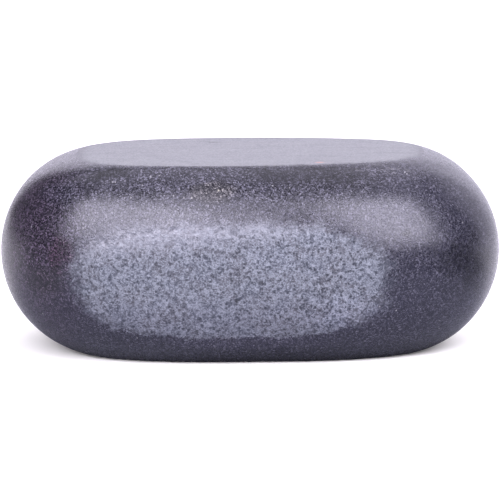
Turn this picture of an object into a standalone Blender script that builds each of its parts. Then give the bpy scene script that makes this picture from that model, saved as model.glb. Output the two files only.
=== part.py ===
"""River pebble: one smooth dark stone, a long oval with a honed flat top and a flat underside."""

import math

import bmesh
import bpy

# Overall size in metres: X runs along the stone, its front faces -Y, and it rests on Z = 0 over the origin
LENGTH = 0.100
DEPTH = 0.062
HEIGHT = 0.0392
GIRTH_LEVEL = 0.0198

# The sides are round in section. LEAN is their tilt where the worn edge of a flat ends, WEAR that edge's radius,
# END_SOFTNESS how much rounder the top edge is at the ends, and SIDE_TO_END the share of the ends' bulge that
# the long sides have
TOP_LEAN = math.radians(41)
TOP_WEAR = 0.012
END_SOFTNESS = 0.5
BASE_LEAN = math.radians(18)
BASE_WEAR = 0.004
SIDE_TO_END = 0.76

# Plan outline: 2 is an ellipse, and more is squarer. The flat top is squarer than the girth
GIRTH_SQUARENESS = 2.45
FLAT_SQUARENESS = 2.75

# What the river left uneven: the top oval is skewed, and the left end is blunter
TOP_SKEW = 0.085
BLUNT_LEFT = 0.08

# The unpolished hollow, a shallow oval dish in the front
HOLLOW_CENTRE_X = -0.004
HOLLOW_CENTRE_Z = 0.0175
HOLLOW_LENGTH = 0.066
HOLLOW_HEIGHT = 0.026
HOLLOW_DEPTH = 0.0005

# How finely the solid is faceted, and the share of the rings that lies on the flats
AROUND = 96
RINGS = 36
FLAT_RINGS = 2


def side_section(rise, lean, wear, tilt):
    """How far out from the flat, and how far below it, the side is where its surface has this tilt."""
    radius = (rise - wear * (1 - math.cos(lean))) / math.cos(lean)
    if tilt < lean:
        return wear * math.sin(tilt), wear * (1 - math.cos(tilt))
    out = wear * math.sin(lean) + radius * (math.sin(tilt) - math.sin(lean))
    drop = wear * (1 - math.cos(lean)) + radius * (math.cos(lean) - math.cos(tilt))
    return out, drop


def oval(angle, half_length, half_depth, squareness):
    """A point on a superellipse."""
    power = 2 / squareness
    across, along = math.sin(angle), math.cos(angle)
    x = half_length * math.copysign(abs(along) ** power, along)
    y = half_depth * math.copysign(abs(across) ** power, across)
    return x, y


def on_stone(direction):
    """The point of the stone that a direction from its middle stands for."""
    polar = math.acos(max(-1.0, min(1.0, direction.z)))
    angle = math.atan2(direction.y, direction.x)
    upper = polar <= math.pi / 2
    from_pole = polar if upper else math.pi - polar
    flat_end = math.pi * FLAT_RINGS / RINGS

    if upper:
        rise, lean = HEIGHT - GIRTH_LEVEL, TOP_LEAN
        wear = TOP_WEAR * (1 + END_SOFTNESS * math.cos(angle) ** 4)
    else:
        rise, lean, wear = GIRTH_LEVEL, BASE_LEAN, BASE_WEAR
    inner = min(from_pole / flat_end, 1.0)
    tilt = max(from_pole - flat_end, 0.0) / (math.pi / 2 - flat_end) * math.pi / 2
    width, _ = side_section(rise, lean, wear, math.pi / 2)
    out, drop = side_section(rise, lean, wear, tilt)
    outness = out / width

    squareness = FLAT_SQUARENESS + (GIRTH_SQUARENESS - FLAT_SQUARENESS) * outness
    half_length = LENGTH / 2 - (width - out)
    half_depth = DEPTH / 2 - (width - out) * SIDE_TO_END
    x, y = oval(angle, half_length, half_depth, squareness)
    y *= 1 - BLUNT_LEFT * x / half_length
    if upper:
        y += TOP_SKEW * x * (1 - outness)
    x *= inner
    y *= inner
    z = HEIGHT - drop if upper else drop
    return x, y, z


def hollow_depth(x, y, z):
    """How deep the front hollow is at a point, fading out smoothly at its rim."""
    if y > 0:
        return 0.0
    across = (x - HOLLOW_CENTRE_X) / (HOLLOW_LENGTH / 2)
    upward = (z - HOLLOW_CENTRE_Z) / (HOLLOW_HEIGHT / 2)
    spread = across ** 2 + upward ** 2
    return HOLLOW_DEPTH * max(0.0, 1 - spread) ** 2


def stone_material():
    material = bpy.data.materials.new("dark_stone")
    material.use_nodes = True
    shader = material.node_tree.nodes["Principled BSDF"]
    shader.inputs["Base Color"].default_value = (0.047, 0.044, 0.066, 1.0)
    shader.inputs["Roughness"].default_value = 0.30
    shader.inputs["Metallic"].default_value = 0.0
    return material


def make_pebble(collection):
    mesh = bpy.data.meshes.new("pebble")
    ball = bmesh.new()
    bmesh.ops.create_uvsphere(ball, u_segments=AROUND, v_segments=RINGS, radius=1.0)
    for vertex in ball.verts:
        x, y, z = on_stone(vertex.co)
        vertex.co = (x, y + hollow_depth(x, y, z), z)
    middle = (min(vertex.co.y for vertex in ball.verts) + max(vertex.co.y for vertex in ball.verts)) / 2
    bmesh.ops.translate(ball, verts=ball.verts, vec=(0, -middle, 0))
    bmesh.ops.recalc_face_normals(ball, faces=ball.faces)
    ball.to_mesh(mesh)
    ball.free()
    mesh.shade_smooth()
    mesh.materials.append(stone_material())
    pebble = bpy.data.objects.new("pebble", mesh)
    collection.objects.link(pebble)
    return pebble


def main():
    for item in list(bpy.data.objects):
        bpy.data.objects.remove(item, do_unlink=True)
    parts = bpy.data.collections.new("river_pebble")
    bpy.context.scene.collection.children.link(parts)
    make_pebble(parts)


main()
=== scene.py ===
import math

import bmesh
import bpy
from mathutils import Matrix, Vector, noise


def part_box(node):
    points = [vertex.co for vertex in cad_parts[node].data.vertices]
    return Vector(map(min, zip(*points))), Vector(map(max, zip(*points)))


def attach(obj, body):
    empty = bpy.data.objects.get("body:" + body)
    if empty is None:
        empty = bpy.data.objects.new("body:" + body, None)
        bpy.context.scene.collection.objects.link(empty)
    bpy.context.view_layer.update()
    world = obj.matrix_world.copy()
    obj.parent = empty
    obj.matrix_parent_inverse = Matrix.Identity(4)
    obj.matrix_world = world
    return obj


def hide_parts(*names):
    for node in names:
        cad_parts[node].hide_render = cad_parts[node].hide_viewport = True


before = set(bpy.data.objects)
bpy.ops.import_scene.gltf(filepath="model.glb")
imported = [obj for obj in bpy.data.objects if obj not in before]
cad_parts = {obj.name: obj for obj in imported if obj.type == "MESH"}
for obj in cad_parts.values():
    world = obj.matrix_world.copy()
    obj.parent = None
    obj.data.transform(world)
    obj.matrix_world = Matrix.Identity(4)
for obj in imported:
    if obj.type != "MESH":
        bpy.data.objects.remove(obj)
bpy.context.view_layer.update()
lowCorner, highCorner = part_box("pebble")
stoneSize = [round(1000 * side, 1) for side in highCorner - lowCorner]
print("frame loaded:", len(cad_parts), "node,", stoneSize, "mm")

# how the stone is shaped, in metres and degrees; its length and height come from the frame
stone = {
    "depth": 0.062,             # before the skew of the top widens it a little
    "girthLevel": 0.0198,       # where it is widest
    "topLean": 41,              # tilt of the side where the top's worn edge ends
    "topWear": 0.012,           # radius of that worn edge
    "endSoftness": 0.5,         # how much rounder it is at the two ends
    "baseLean": 18,
    "baseWear": 0.004,
    "sideToEnd": 0.76,          # bulge of the long sides as a share of the ends'
    "girthSquareness": 2.45,    # 2 is an ellipse
    "flatSquareness": 2.75,
    "topSkew": 0.085,
    "bluntLeft": 0.08,
    "flatShare": 0.5,           # share of the mesh that lies on the two flats
    "cuts": 84,                 # grid lines over each of the starting cube's faces
    "patchCuts": 2,             # extra grid lines in and round the rough patch
    "swell": 0.00012,           # long gentle unevenness left by the river
    "swellLength": 0.016,
    "noSwell": (0.996, 0.9999),     # how level the stone is where the swell fades and is gone
    "ripple": 0.000018,         # shorter unevenness that makes reflections waver
    "rippleLength": 0.0028,
    "rippleNoise": (0.8, 2.0, 2),   # dimension, lacunarity and octaves, here and below
}

# the natural hollow in the front, and the rough patch in it that was never polished
patch = {
    "centreX": -0.0036,
    "centreZ": 0.0175,
    "hollowLength": 0.066,
    "hollowHeight": 0.026,
    "hollowDepth": 0.0005,
    "length": 0.0604,
    "height": 0.0228,
    "squareness": 2.8,
    "fineReach": 1.12,          # how far out the finer grid goes; the rim is at 1
    "ragged": 0.05,             # how far the rim wanders, as a share of the patch's half size
    "raggedLength": 0.004,
    "raggedNoise": (0.7, 2.0, 3),
    "edge": 0.05,               # how wide the rim is, likewise
    "grit": 0.00007,            # height of the granular relief
    "gritLength": 0.0009,
    "gritNoise": (0.6, 2.0, 3),
    "pit": 0.00014,             # depth of the deepest pits
    "pitLength": 0.0013,
    "pitEdge": (0.25, 0.65),
    "pitShift": (7, 3, 5),      # keeps the pits' pattern apart from the grit's
    "pitWeight": 1.5,           # how much darker a pit looks than low grit
}


def sideSection(rise, lean, wear, tilt):
    # how far out from the flat, and how far below it, the side is at this tilt
    radius = (rise - wear * (1 - math.cos(lean))) / math.cos(lean)
    if tilt < lean:
        return wear * math.sin(tilt), wear * (1 - math.cos(tilt))
    out = wear * math.sin(lean) + radius * (math.sin(tilt) - math.sin(lean))
    drop = wear * (1 - math.cos(lean)) + radius * (math.cos(lean) - math.cos(tilt))
    return out, drop


def oval(angle, halfLength, halfDepth, squareness):
    # a point on a superellipse
    power = 2 / squareness
    across, along = math.sin(angle), math.cos(angle)
    x = halfLength * math.copysign(abs(along) ** power, along)
    y = halfDepth * math.copysign(abs(across) ** power, across)
    return x, y


def onStone(direction, length, depth, height):
    # the point of the smooth stone that a direction from its middle stands for
    polar = math.acos(max(-1.0, min(1.0, direction.z)))
    angle = math.atan2(direction.y, direction.x)
    upper = polar <= math.pi / 2
    fromPole = polar if upper else math.pi - polar
    flatEnd = stone["flatShare"] * math.pi / 2
    if upper:
        rise, lean = height - stone["girthLevel"], math.radians(stone["topLean"])
        wear = stone["topWear"] * (1 + stone["endSoftness"] * math.cos(angle) ** 4)
    else:
        rise, lean, wear = stone["girthLevel"], math.radians(stone["baseLean"]), stone["baseWear"]
    inner = min(fromPole / flatEnd, 1.0)
    tilt = max(fromPole - flatEnd, 0.0) / (math.pi / 2 - flatEnd) * math.pi / 2
    width = sideSection(rise, lean, wear, math.pi / 2)[0]
    out, drop = sideSection(rise, lean, wear, tilt)
    outness = out / width
    squareness = stone["flatSquareness"] + (stone["girthSquareness"] - stone["flatSquareness"]) * outness
    halfLength = length / 2 - (width - out)
    halfDepth = depth / 2 - (width - out) * stone["sideToEnd"]
    x, y = oval(angle, halfLength, halfDepth, squareness)
    y *= 1 - stone["bluntLeft"] * x / halfLength
    if upper:
        y += stone["topSkew"] * x * (1 - outness)
    return Vector((x * inner, y * inner, height - drop if upper else drop))


def spread(point, length, height, squareness):
    # 0 in the middle of an oval on the stone's front, 1 on its rim
    across = abs(point.x - patch["centreX"]) / (length / 2)
    upward = abs(point.z - patch["centreZ"]) / (height / 2)
    return (across ** squareness + upward ** squareness) ** (1 / squareness)


def smoothStep(low, high, value):
    part = max(0.0, min(1.0, (value - low) / (high - low)))
    return part * part * (3 - 2 * part)


def rimShare(point):
    # 0 in the middle of the rough patch, 1 on its wandering rim, 2 and more well outside
    if point.y > 0:
        return 2.0
    wander = noise.fractal(point / patch["raggedLength"], *patch["raggedNoise"]) * patch["ragged"]
    return spread(point, patch["length"], patch["height"], patch["squareness"]) + wander


def patchMask(point):
    # 1 on the rough patch, 0 on the polished stone
    return 1 - smoothStep(1 - patch["edge"], 1 + patch["edge"], rimShare(point))


def makeStone():
    mesh = bpy.data.meshes.new("pebbleStone")
    ball = bmesh.new()
    bmesh.ops.create_cube(ball, size=2.0)
    bmesh.ops.subdivide_edges(ball, edges=ball.edges, cuts=stone["cuts"], use_grid_fill=True)
    length, height = highCorner.x - lowCorner.x, highCorner.z - lowCorner.z

    # a finer grid where the rough patch needs it
    fine = []
    for face in ball.faces:
        middle = face.calc_center_median().normalized()
        if middle.y < 0:
            where = onStone(middle, length, stone["depth"], height)
            if spread(where, patch["length"], patch["height"], patch["squareness"]) < patch["fineReach"]:
                fine.append(face)
    fineEdges = list({edge for face in fine for edge in face.edges})
    bmesh.ops.subdivide_edges(ball, edges=fineEdges, cuts=stone["patchCuts"], use_grid_fill=True)
    bmesh.ops.triangulate(ball, faces=[face for face in ball.faces if len(face.verts) > 4])

    for vertex in ball.verts:
        vertex.co = onStone(vertex.co.normalized(), length, stone["depth"], height)
    sides = [vertex.co.y for vertex in ball.verts]
    middle = (min(sides) + max(sides)) / 2
    bmesh.ops.translate(ball, verts=ball.verts, vec=(0, (lowCorner.y + highCorner.y) / 2 - middle, 0))
    bmesh.ops.recalc_face_normals(ball, faces=ball.faces)
    ball.normal_update()

    # the finish reads these: how near the patch's rim, how high its grit stands, how level the stone is
    rim = ball.verts.layers.float.new("rim")
    relief = ball.verts.layers.float.new("relief")
    level = ball.verts.layers.float.new("level")
    for vertex in ball.verts:
        point, normal = vertex.co.copy(), vertex.normal.copy()
        mask = patchMask(point)
        flat = smoothStep(*stone["noSwell"], abs(normal.z))
        lift = noise.noise(point / stone["swellLength"]) * stone["swell"] * (1 - flat)
        lift += noise.fractal(point / stone["rippleLength"], *stone["rippleNoise"]) * stone["ripple"]
        if point.y < 0:
            dish = spread(point, patch["hollowLength"], patch["hollowHeight"], 2)
            lift -= patch["hollowDepth"] * max(0.0, 1 - dish ** 2) ** 2
        if mask > 0:
            grit = noise.fractal(point / patch["gritLength"], *patch["gritNoise"])
            dent = noise.noise(point / patch["pitLength"] + Vector(patch["pitShift"]))
            pits = smoothStep(*patch["pitEdge"], dent)
            lift += mask * (grit * patch["grit"] - pits * patch["pit"])
            vertex[relief] = grit - patch["pitWeight"] * pits
        vertex[rim] = rimShare(point)
        vertex[level] = normal.z
        vertex.co = point + normal * lift
        vertex.co.z = max(vertex.co.z, lowCorner.z)     # nothing reaches down into the floor
    ball.to_mesh(mesh)
    ball.free()
    mesh.shade_smooth()
    piece = bpy.data.objects.new("pebbleStone", mesh)
    bpy.context.scene.collection.objects.link(piece)
    triangles = sum(len(face.vertices) - 2 for face in mesh.polygons)
    print("stone meshed:", len(mesh.vertices), "points,", triangles, "triangles")
    return piece


class Wire:
    # a node's output that takes part in plain sums
    def __init__(self, finish, socket):
        self.finish, self.socket = finish, socket

    def maths(self, operation, first, second):
        return self.finish.node("ShaderNodeMath", {"operation": operation}, {0: first, 1: second})

    def __add__(self, other):
        return self.maths("ADD", self, other)

    def __radd__(self, other):
        return self.maths("ADD", other, self)

    def __sub__(self, other):
        return self.maths("SUBTRACT", self, other)

    def __rsub__(self, other):
        return self.maths("SUBTRACT", other, self)

    def __mul__(self, other):
        return self.maths("MULTIPLY", self, other)

    def __rmul__(self, other):
        return self.maths("MULTIPLY", other, self)

    def __truediv__(self, other):
        return self.maths("DIVIDE", self, other)

    def __rtruediv__(self, other):
        return self.maths("DIVIDE", other, self)

    def __pow__(self, other):
        return self.maths("POWER", self, other)

    def __rpow__(self, other):
        return self.maths("POWER", other, self)

    def __gt__(self, other):
        return self.maths("GREATER_THAN", self, other)

    def __lt__(self, other):
        return self.maths("LESS_THAN", self, other)

    def __abs__(self):
        return self.maths("ABSOLUTE", self, 0.0)


class Finish:
    # a material that is built up node by node
    def __init__(self, name):
        self.material = bpy.data.materials.new(name)
        self.material.use_nodes = True
        self.tree = self.material.node_tree
        self.shader = self.tree.nodes["Principled BSDF"]

    def node(self, kind, settings=None, sockets=None, output=0):
        made = self.tree.nodes.new(kind)
        for name, value in (settings or {}).items():
            setattr(made, name, value)
        for name, value in (sockets or {}).items():
            self.plug(made.inputs[name], value)
        return Wire(self, made.outputs[output])

    def plug(self, socket, value):
        if isinstance(value, Wire):
            self.tree.links.new(value.socket, socket)
        else:
            socket.default_value = value

    def vector(self, operation, first, second):
        return self.node("ShaderNodeVectorMath", {"operation": operation}, {0: first, 1: second})

    def blended(self, settings, share, first, second):
        # a Mix node's colour sockets go by number, because its others have the same names
        return self.node("ShaderNodeMix", settings, {0: share, 6: first, 7: second}, 2)

    def mix(self, share, first, second):
        # colours, by share of the second
        return self.blended({"data_type": "RGBA"}, share, first, second)

    def tint(self, share, colour, factor):
        # the colour multiplied by the factor, by share
        return self.blended({"data_type": "RGBA", "blend_type": "MULTIPLY"}, share, colour, factor)

    def away(self, place, where, reach):
        # how far off this point is, 1 on the surface of an ellipsoid
        scaled = self.vector("DIVIDE", self.vector("SUBTRACT", place, where), reach)
        return self.node("ShaderNodeVectorMath", {"operation": "LENGTH"}, {0: scaled}, "Value")

    def warp(self, place, size, distance):
        # the place moved about a little, so that a pattern loses its even cells
        sockets = {"Vector": place, "Scale": 1 / size, "Detail": 1.0}
        colour = self.node("ShaderNodeTexNoise", {}, sockets, "Color")
        offset = self.vector("SUBTRACT", colour, (0.5, 0.5, 0.5))
        return self.vector("ADD", place, self.vector("MULTIPLY", offset, (2 * distance,) * 3))

    def step(self, low, high, value):
        # rises smoothly from 0 at low to 1 at high, which may also be the smaller of the two
        settings = {"interpolation_type": "SMOOTHSTEP"}
        return self.node("ShaderNodeMapRange", settings, {"Value": value, "From Min": low, "From Max": high})

    def noise(self, place, size, detail, roughness):
        sockets = {"Vector": place, "Scale": 1 / size, "Detail": detail, "Roughness": roughness}
        return self.node("ShaderNodeTexNoise", {}, sockets)

    def grains(self, place, size):
        # a random number for each mineral grain, and how far out from the grain's middle
        colour = self.node("ShaderNodeTexVoronoi", {}, {"Vector": place, "Scale": 1 / size}, "Color")
        away = Wire(self, colour.socket.node.outputs["Distance"])
        return self.node("ShaderNodeSeparateColor", {}, {"Color": colour}), away

    def spots(self, place, size, share, radius, core=0.6):
        # 1 inside roundish spots on this share of the grains, 0 elsewhere; core is the part without fading
        chance, away = self.grains(place, size)
        return (chance > 1 - share) * self.step(radius, radius * core, away)


# the patterns that the whole finish is built from: size in metres, detail and roughness of each noise
patterns = {
    "fine": (0.00022, 1.0, 0.5),
    "speckle": (0.00042, 2.0, 0.65),
    "cluster": (0.0012, 2.0, 0.5),
    "blotch": (0.005, 4.0, 0.6),
    "scratch": (0.0003, 1.0, 0.5),
    "stroke": (0.0013, 2.0, 0.5),
    "stretch": (0.08, 1, 1),                  # scratches and strokes run along the stone
    "grainSize": 0.00022,
    "hardnessSize": 0.000242,
    "hardnessShift": (0.1, 0, 0),             # keeps hard grains from coinciding with pale ones
}

# the polished stone, which is most of it; colours are linear red, green and blue
polish = {
    "dark": (0.0040, 0.0038, 0.0070, 1),
    "light": (0.1200, 0.1165, 0.1440, 1),
    "darkToLight": (0.10, 1.07),              # the tones that come out quite dark and quite light
    "lightRarity": 3,
    "fleck": (0.1200, 0.1160, 0.1360, 1),
    "flecks": (0.000352, 0.06, 0.6),          # size, share of the grains, radius, here and below
    "spark": (0.1600, 0.1560, 0.1600, 1),
    "sparks": (0.0011, 0.02, 0.2),
    "calm": (0.0145, 0.0145, 0.0262, 1),      # low down, where the grain shows less
    "calmGrain": 0.6,                         # how much of it shows there
    "calmToGrainy": (0.024, 0.036),           # the heights between which it fades in
    "calmLowerLeft": 0.018,                   # by how much those are lower at the left end
    "calmHigherRight": 0.007,
    "leftFrom": (-0.028, -0.042),
    "rightFrom": (0.016, 0.030),
    "leftEnd": (0.83, 0.65, 0.76, 1),         # what the left end's colours are multiplied by
    "scratchMiddle": (0.0270, -0.0180, 0.0380),
    "scratchReach": (0.0110, 0.0050, 0.0014),
    "scratchFade": (1.0, 0.6),
    "scratchEdge": (0.60, 0.68),
    "scratchShare": 0.6,
    "roughness": 0.24,
    "roughnessByFine": 0.15,
    "roughnessByHardness": 0.26,
    "bump": 0.00003,
}

# the flat top: rough where it was honed, and painted pale, which is a painted reflection of the bright
# studio
honingAndPaintedReflection = {
    # painted reflection: this pale colour stands in for the studio's light mirrored in the top
    "colour": (0.276, 0.279, 0.276, 1),
    "fade": (0.979, 0.999),                   # how level the stone is where the honing starts and is full
    "share": 0.92,
    "roughness": 0.74,
    "smoother": 0.7,                          # how much lower its relief is
}

# the rough patch: blue-grey and warmer crust, pale veins, dark pits and dark grains, and a painted highlight
# on its worn upper left
crust = {
    "blue": (0.038, 0.043, 0.057, 1),
    "warm": (0.047, 0.046, 0.053, 1),
    "blueToWarm": (0.4, 0.6),
    "pale": (0.188, 0.202, 0.222, 1),
    "paleFrom": (0.27, 0.72),
    "dark": (0.014, 0.017, 0.024, 1),
    "pitSize": 0.00085,
    "pits": (0.55, 0.38),                     # share of the grains, radius
    "pitWarp": (0.00102, 0.0005),             # what bends the pits out of round: size, distance
    "darkGrains": (0.000504, 0.25, 0.55),     # size, share of the grains, radius
    "coarseFrom": (-0.022, 0.012),            # pits and dark grains show more to the right of this
    "coarseLeast": 0.75,
    "coarseMore": 0.45,
    "low": (0.90, 0.88, 0.91, 1),             # what its lower half's colours are multiplied by
    "lowFrom": (0.017, 0.009),
    "leftX": -0.030,
    "worn": (0.212, 0.212, 0.224, 1),         # its upper left, which is worn nearly smooth, and painted paler there as a highlight
    "wornFrom": (0.0205, 0.0255),             # the heights between which that starts at leftX
    "wornSlope": 0.12,                        # how it climbs to the right
    # how much of the painted highlight shows on the worn upper left
    "wornShare": 0.4,
    "wornGloss": 0.9,
    "rim": 0.03,                              # how soft its rim is, as a share of its half size
    "rimUpper": 0.14,                         # added to that along the top
    "upperFrom": (0.0215, 0.0275),
    "upperSlope": 0.10,
    "rimEnds": 0.05,                          # added at its two ends
    "endsFrom": (0.020, 0.028),               # how far out from its middle those start
    "roughness": 0.75,
    "bump": 0.00008,
    "darkGrainBump": 0.00003,
    "pitBump": 0.00005,
}

# darker, paler and redder places: where, how far they reach, and what they multiply the colour by;
# the holes are the largest pits in the rough patch
marks = {
    "darkLeft": ((-0.0267, -0.0225, 0.0380), (0.0058, 0.0030, 0.0015), (0.40, 0.40, 0.42, 1)),
    "darkMiddle": ((0.0145, -0.0225, 0.0375), (0.0190, 0.0060, 0.0026), (0.50, 0.50, 0.52, 1)),
    "ochre": ((-0.0070, -0.0268, 0.0348), (0.0070, 0.0040, 0.0026), (1.60, 1.56, 1.25, 1)),
    "maroon": ((-0.0372, -0.0250, 0.0225), (0.0036, 0.0060, 0.0045), (0.95, 0.72, 0.80, 1)),
    # painted shade: darkens the right end, standing in for the dark room it mirrors
    "paintedShadeRight": ((0.0420, -0.0150, 0.0195), (0.0090, 0.0120, 0.0080), (0.40, 0.40, 0.45, 1)),
    "paleRight": ((0.0195, -0.0285, 0.0112), (0.0100, 0.0050, 0.0055), (1.30, 1.30, 1.30, 1)),
    "paleLow": ((0.0000, -0.0262, 0.0050), (0.0200, 0.0060, 0.0022), (1.45, 1.42, 1.40, 1)),
    "darkLeftEnd": ((-0.0410, -0.0230, 0.0165), (0.0060, 0.0080, 0.0045), (0.70, 0.68, 0.66, 1)),
    "paleLeftEnd": ((-0.0370, -0.0200, 0.0335), (0.0060, 0.0060, 0.0030), (1.30, 1.42, 1.36, 1)),
    "dentRight": ((0.0303, -0.0248, 0.0266), (0.0014, 0.0030, 0.0009), (0.25, 0.25, 0.30, 1)),
    "nick": ((-0.0075, 0.0130, 0.0392), (0.0018, 0.0006, 0.0010), (0.45, 0.45, 0.45, 1)),
    "rust": ((0.0137, -0.0160, 0.0391), (0.0012, 0.0008, 0.0010), (2.10, 1.20, 1.00, 1)),
    "hole1": ((-0.0035, -0.0300, 0.0181), (0.0007, 0.0030, 0.0006), (0.30, 0.30, 0.32, 1)),
    "hole2": ((0.0021, -0.0300, 0.0177), (0.0008, 0.0030, 0.0005), (0.30, 0.30, 0.32, 1)),
    "hole3": ((-0.0072, -0.0300, 0.0191), (0.0006, 0.0030, 0.0005), (0.35, 0.35, 0.37, 1)),
    "hole4": ((-0.0199, -0.0300, 0.0166), (0.0006, 0.0030, 0.0005), (0.40, 0.40, 0.42, 1)),
    "hole5": ((-0.0026, -0.0300, 0.0140), (0.0005, 0.0030, 0.0006), (0.40, 0.40, 0.42, 1)),
}
markEdge = {
    "ragged": 1.6,              # how far blotches bend a mark's edge, as a share of its reach
    "fade": (1.0, 0.35),
}

# single pale grains on the front: along X, up Z, radius
specks = [
    (0.0304, 0.0373, 0.00018), (0.0308, 0.0370, 0.00014), (-0.0267, 0.0365, 0.00018),
    (-0.0193, 0.0376, 0.00020), (-0.0128, 0.0339, 0.00016), (-0.0113, 0.0339, 0.00020),
    (-0.0148, 0.0343, 0.00016), (-0.0231, 0.0338, 0.00018), (-0.0324, 0.0278, 0.00018),
    (-0.0350, 0.0221, 0.00018), (-0.0262, 0.0365, 0.00016), (-0.0061, 0.0352, 0.00018),
]
speckEdge = (1.2, 0.6)


def makeStoneFinish():
    finish = Finish("stoneFinish")
    place = finish.node("ShaderNodeTexCoord", output="Object")
    alongX = finish.node("ShaderNodeSeparateXYZ", {}, {"Vector": place}, "X")
    acrossY = finish.node("ShaderNodeSeparateXYZ", {}, {"Vector": place}, "Y")
    upZ = finish.node("ShaderNodeSeparateXYZ", {}, {"Vector": place}, "Z")
    rim = finish.node("ShaderNodeAttribute", {"attribute_name": "rim"}, output="Fac")
    relief = finish.node("ShaderNodeAttribute", {"attribute_name": "relief"}, output="Fac")
    level = finish.node("ShaderNodeAttribute", {"attribute_name": "level"}, output="Fac")

    # the patterns, from the finest to the broadest, and some of them again with their middle at 0
    fine = finish.noise(place, *patterns["fine"])
    grain, _ = finish.grains(place, patterns["grainSize"])
    shifted = finish.vector("ADD", place, patterns["hardnessShift"])
    hardness, _ = finish.grains(shifted, patterns["hardnessSize"])
    speckle = finish.noise(place, *patterns["speckle"])
    cluster = finish.noise(place, *patterns["cluster"])
    blotch = finish.noise(place, *patterns["blotch"])
    speckled, clustered, blotched = speckle - 0.5, cluster - 0.5, blotch - 0.5
    stretched = finish.vector("MULTIPLY", place, patterns["stretch"])
    leftEnd = finish.step(*polish["leftFrom"], alongX)
    rightEnd = finish.step(*polish["rightFrom"], alongX)

    # where the rough patch is: its rim is soft along the top and sharp along the bottom
    fromLeft = alongX - crust["leftX"]
    upper = finish.step(*crust["upperFrom"], upZ - fromLeft * crust["upperSlope"])
    ends = finish.step(*crust["endsFrom"], abs(alongX - patch["centreX"]))
    blend = crust["rim"] + upper * crust["rimUpper"] + ends * crust["rimEnds"]
    rough = 1 - finish.step(1 - blend, 1 + blend, rim + speckled * 0.25 + clustered * 0.12)

    # the polished stone: dark minerals and paler ones, flecks, a few sparks and scratches
    tone = grain * 0.8 + fine * 0.2 + clustered * 0.3 + blotched * 0.3
    lightness = finish.step(*polish["darkToLight"], tone) ** polish["lightRarity"]
    polished = finish.mix(lightness, polish["dark"], polish["light"])
    polished = finish.mix(finish.spots(place, *polish["flecks"]), polished, polish["fleck"])
    above = upZ + leftEnd * polish["calmLowerLeft"] - rightEnd * polish["calmHigherRight"]
    upward = finish.step(*polish["calmToGrainy"], above)
    grainy = polish["calmGrain"] + (1 - polish["calmGrain"]) * upward + clustered * 0.5
    polished = finish.mix(grainy, polish["calm"], polished)
    polished = finish.tint(leftEnd, polished, polish["leftEnd"])
    sparks = finish.spots(place, *polish["sparks"])
    front = finish.node("ShaderNodeCombineXYZ", {}, {"X": alongX, "Z": upZ})
    for x, z, radius in specks:
        away = finish.away(front, (x, 0, z), (radius, 1, radius))
        sparks += finish.step(*speckEdge, away) * (acrossY < 0)
    away = finish.away(place, polish["scratchMiddle"], polish["scratchReach"])
    scratches = finish.step(*polish["scratchEdge"], finish.noise(stretched, *patterns["scratch"]))
    scratches *= finish.step(*polish["scratchFade"], away)
    polished = finish.mix(sparks + scratches * polish["scratchShare"], polished, polish["spark"])

    # the flat top: rough and even where honed, painted pale as a reflection of the studio, with faint
    # strokes along it
    uneven = blotched * 0.035 + clustered * 0.025 + speckled * 0.02
    honedTopWithReflection = finish.step(*honingAndPaintedReflection["fade"], level + uneven)
    strokes = finish.noise(stretched, *patterns["stroke"])
    dulled = (strokes - 0.5) * 0.25 + blotched * 0.4 + clustered * 0.2 + grain * 0.45
    # painted reflection: the pale top colour, streaked, laid over the polished stone
    paintedReflectionTop = finish.mix(dulled, honingAndPaintedReflection["colour"], polish["calm"])
    polished = finish.mix(honedTopWithReflection * honingAndPaintedReflection["share"], polished, paintedReflectionTop)

    # the rough patch
    worn = finish.step(*crust["wornFrom"], upZ + speckled * 0.004 - fromLeft * crust["wornSlope"])
    raw = finish.mix(finish.step(*crust["blueToWarm"], blotch), crust["blue"], crust["warm"])
    wavy = finish.warp(place, *crust["pitWarp"])
    _, fromPit = finish.grains(wavy, crust["pitSize"])
    veins = fromPit * 0.30 + speckle * 0.40 + grain * 0.3 + clustered * 0.25 + relief * 0.06
    raw = finish.mix(finish.step(*crust["paleFrom"], veins), raw, crust["pale"])
    # painted highlight: the worn upper left is made paler where the light glances off it
    raw = finish.mix(worn * crust["wornShare"], raw, crust["worn"])
    pits = finish.spots(wavy, crust["pitSize"], *crust["pits"])
    darkGrains = finish.spots(place, *crust["darkGrains"])
    rightward = finish.step(*crust["coarseFrom"], alongX + blotched * 0.03)
    coarse = crust["coarseLeast"] + crust["coarseMore"] * rightward
    deep = (pits * 0.45 + darkGrains * 0.45) * (1 - worn * 0.6) * coarse
    raw = finish.mix(deep + hardness * (0.42 - worn * 0.25), raw, crust["dark"])
    raw = finish.tint(finish.step(*crust["lowFrom"], upZ), raw, crust["low"])

    colour = finish.mix(rough, polished, raw)
    # each mark tints the colour; the right end's mark is painted shade
    for where, reach, factor in marks.values():
        away = finish.away(place, where, reach) + blotched * markEdge["ragged"]
        colour = finish.tint(finish.step(*markEdge["fade"], away), colour, factor)
    finish.plug(finish.shader.inputs["Base Color"], colour)

    # the gloss differs from grain to grain, and runs on over the patch where it is worn
    gloss = polish["roughness"] + (fine - 0.5) * polish["roughnessByFine"]
    gloss += (hardness - 0.5) * polish["roughnessByHardness"]
    gloss = gloss * (1 - honedTopWithReflection) + honedTopWithReflection * honingAndPaintedReflection["roughness"]
    matt = rough * (1 - worn * crust["wornGloss"])
    finish.plug(finish.shader.inputs["Roughness"], gloss * (1 - matt) + matt * crust["roughness"])

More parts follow.
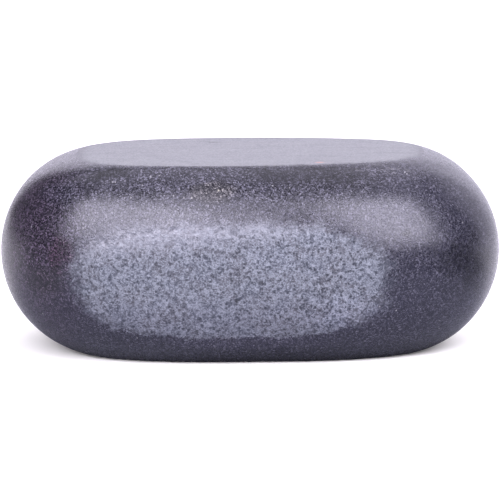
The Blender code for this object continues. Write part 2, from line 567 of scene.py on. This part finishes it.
    grit = speckled * crust["bump"] - darkGrains * crust["darkGrainBump"] - pits * crust["pitBump"]
    height = (fine + hardness * 0.5) * polish["bump"] * (1 - rough) * (1 - honedTopWithReflection * honingAndPaintedReflection["smoother"])
    height += rough * grit
    bump = finish.node("ShaderNodeBump", {}, {"Strength": 1.0, "Distance": 1.0, "Height": height})
    finish.plug(finish.shader.inputs["Normal"], bump)
    return finish.material


piece = makeStone()
piece.data.materials.append(makeStoneFinish())
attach(piece, "root")
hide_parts("pebble")
print("stone finished")

# the floor and the light of a white studio; brightness is how bright a panel looks beside a white
# surface, which is 1
studio = {
    "tint": (1.04, 1.0, 1.20),
    "floorRadius": 4.0,
    "floorSides": 96,
    "floorRoughness": 0.9,
    "floorSeen": (1.00, 1.00, 0.88, 1),         # what the camera sees
    "floorBounce": (0.37, 0.38, 0.41, 1),       # what lights and mirrors itself in the stone
    "floorBehindLeft": (0.66, 0.66, 0.63, 1),   # the same behind the stone, painted lighter there as light
    "floorBehindRight": (0.80, 0.80, 0.78, 1),
    "floorPaintedShade": (0.04, 0.04, 0.04, 1),         # painted shade far to the left and right, and a painted contact shadow right under its edge
    "behind": (-0.01, 0.04),                    # where the floor behind it starts, along Y
    "leftToRight": (-0.04, 0.04),
    "bounceMiddle": -0.035,
    "bounceFade": (0.10, 0.16),                 # how far to the left and right the floor is light; beyond that it is painted shade
    "footLength": 0.078,                        # the stone's foot, round which a contact shadow is painted on the floor
    "footDepth": 0.044,
    "contactShadowShare": 0.7,
    "contactShadowFade": (0.95, 1.25),                  # as a share of the foot's half size
    "room": 0.12,
    "distance": 3.0,
}

# each soft panel: compass bearing from the front in degrees (right is positive), height angle,
# how wide and how high it looks in degrees, and how bright it is
panels = {
    "left": (-30, 27, 56, 32, 8.8),
    "right": (46, 33, 34, 42, 9.0),
    "middle": (0, 40, 14, 30, 4.9),
    "overhead": (-165, 80, 72, 54, 1.45),
    "back": (175, 20, 52, 44, 1.17),
    "backRight": (130, 20, 44, 44, 1.05),
}


def makeFloor():
    mesh = bpy.data.meshes.new("floor")
    disc = bmesh.new()
    sides, radius = studio["floorSides"], studio["floorRadius"]
    bmesh.ops.create_circle(disc, cap_ends=True, segments=sides, radius=radius)
    bmesh.ops.translate(disc, verts=disc.verts, vec=(0, 0, lowCorner.z))
    disc.to_mesh(mesh)
    disc.free()

    finish = Finish("floorFinish")
    place = finish.node("ShaderNodeTexCoord", output="Object")
    x = finish.node("ShaderNodeSeparateXYZ", {}, {"Vector": place}, "X")
    y = finish.node("ShaderNodeSeparateXYZ", {}, {"Vector": place}, "Y")
    behind = finish.step(*studio["behind"], y)
    right = finish.step(*studio["leftToRight"], x)
    # painted shade: the floor in front is dark far to the left and right
    far = finish.step(*studio["bounceFade"], abs(x - studio["bounceMiddle"])) * (1 - behind)
    across, along = x / (studio["footLength"] / 2), y / (studio["footDepth"] / 2)
    outward = finish.step(*studio["contactShadowFade"], (across * across + along * along) ** 0.5)
    # painted light: the floor behind the stone is lighter than in front
    back = finish.mix(right, studio["floorBehindLeft"], studio["floorBehindRight"])
    bounce = finish.mix(behind, studio["floorBounce"], back)
    bounce = finish.mix(far, bounce, studio["floorPaintedShade"])
    # painted contact shadow round the stone's foot, seen by the stone and not by the camera
    bounce = finish.mix(studio["contactShadowShare"] * (1 - outward), bounce, studio["floorPaintedShade"])
    seen = finish.node("ShaderNodeLightPath", output="Is Camera Ray")
    finish.plug(finish.shader.inputs["Base Color"], finish.mix(seen, bounce, studio["floorSeen"]))
    finish.plug(finish.shader.inputs["Roughness"], studio["floorRoughness"])
    mesh.materials.append(finish.material)
    floor = bpy.data.objects.new("floor", mesh)
    bpy.context.scene.collection.objects.link(floor)


def makePanel(name, bearing, rise, wide, high, brightness):
    angle, up = math.radians(bearing), math.radians(rise)
    toPanel = Vector((math.sin(angle) * math.cos(up), -math.cos(angle) * math.cos(up), math.sin(up)))
    lamp = bpy.data.lights.new(name, "AREA")
    lamp.shape = "RECTANGLE"
    lamp.size = 2 * studio["distance"] * math.tan(math.radians(wide / 2))
    lamp.size_y = 2 * studio["distance"] * math.tan(math.radians(high / 2))
    lamp.color = studio["tint"]
    lamp.energy = brightness * math.pi * lamp.size * lamp.size_y
    panel = bpy.data.objects.new(name, lamp)
    panel.location = toPanel * studio["distance"]
    panel.rotation_euler = toPanel.to_track_quat("Z", "Y").to_euler()
    panel.visible_camera = False
    bpy.context.scene.collection.objects.link(panel)


def makeStudio():
    makeFloor()
    for name, values in panels.items():
        makePanel(name, *values)
    world = bpy.data.worlds.new("room")
    world.use_nodes = True
    background = world.node_tree.nodes["Background"]
    background.inputs["Color"].default_value = (*studio["tint"], 1)
    background.inputs["Strength"].default_value = studio["room"]
    bpy.context.scene.world = world
    bpy.context.scene.view_settings.view_transform = "Standard"
    print("studio lit by", len(panels), "panels")


# the camera: a long lens, a little above the stone
camera = {
    "rise": 9.4,
    "distance": 0.8,
    "aimHeight": 0.0191,
    "lens": 286.4,
    "clipEnd": 20,
}


def makeCamera():
    up = math.radians(camera["rise"])
    toCamera = Vector((0, -math.cos(up), math.sin(up)))
    data = bpy.data.cameras.new("camera")
    data.lens = camera["lens"]
    data.clip_end = camera["clipEnd"]
    eye = bpy.data.objects.new("camera", data)
    eye.location = Vector((0, 0, camera["aimHeight"])) + toCamera * camera["distance"]
    eye.rotation_euler = toCamera.to_track_quat("Z", "Y").to_euler()
    bpy.context.scene.collection.objects.link(eye)
    bpy.context.scene.camera = eye
    print("camera placed")


makeStudio()
makeCamera()
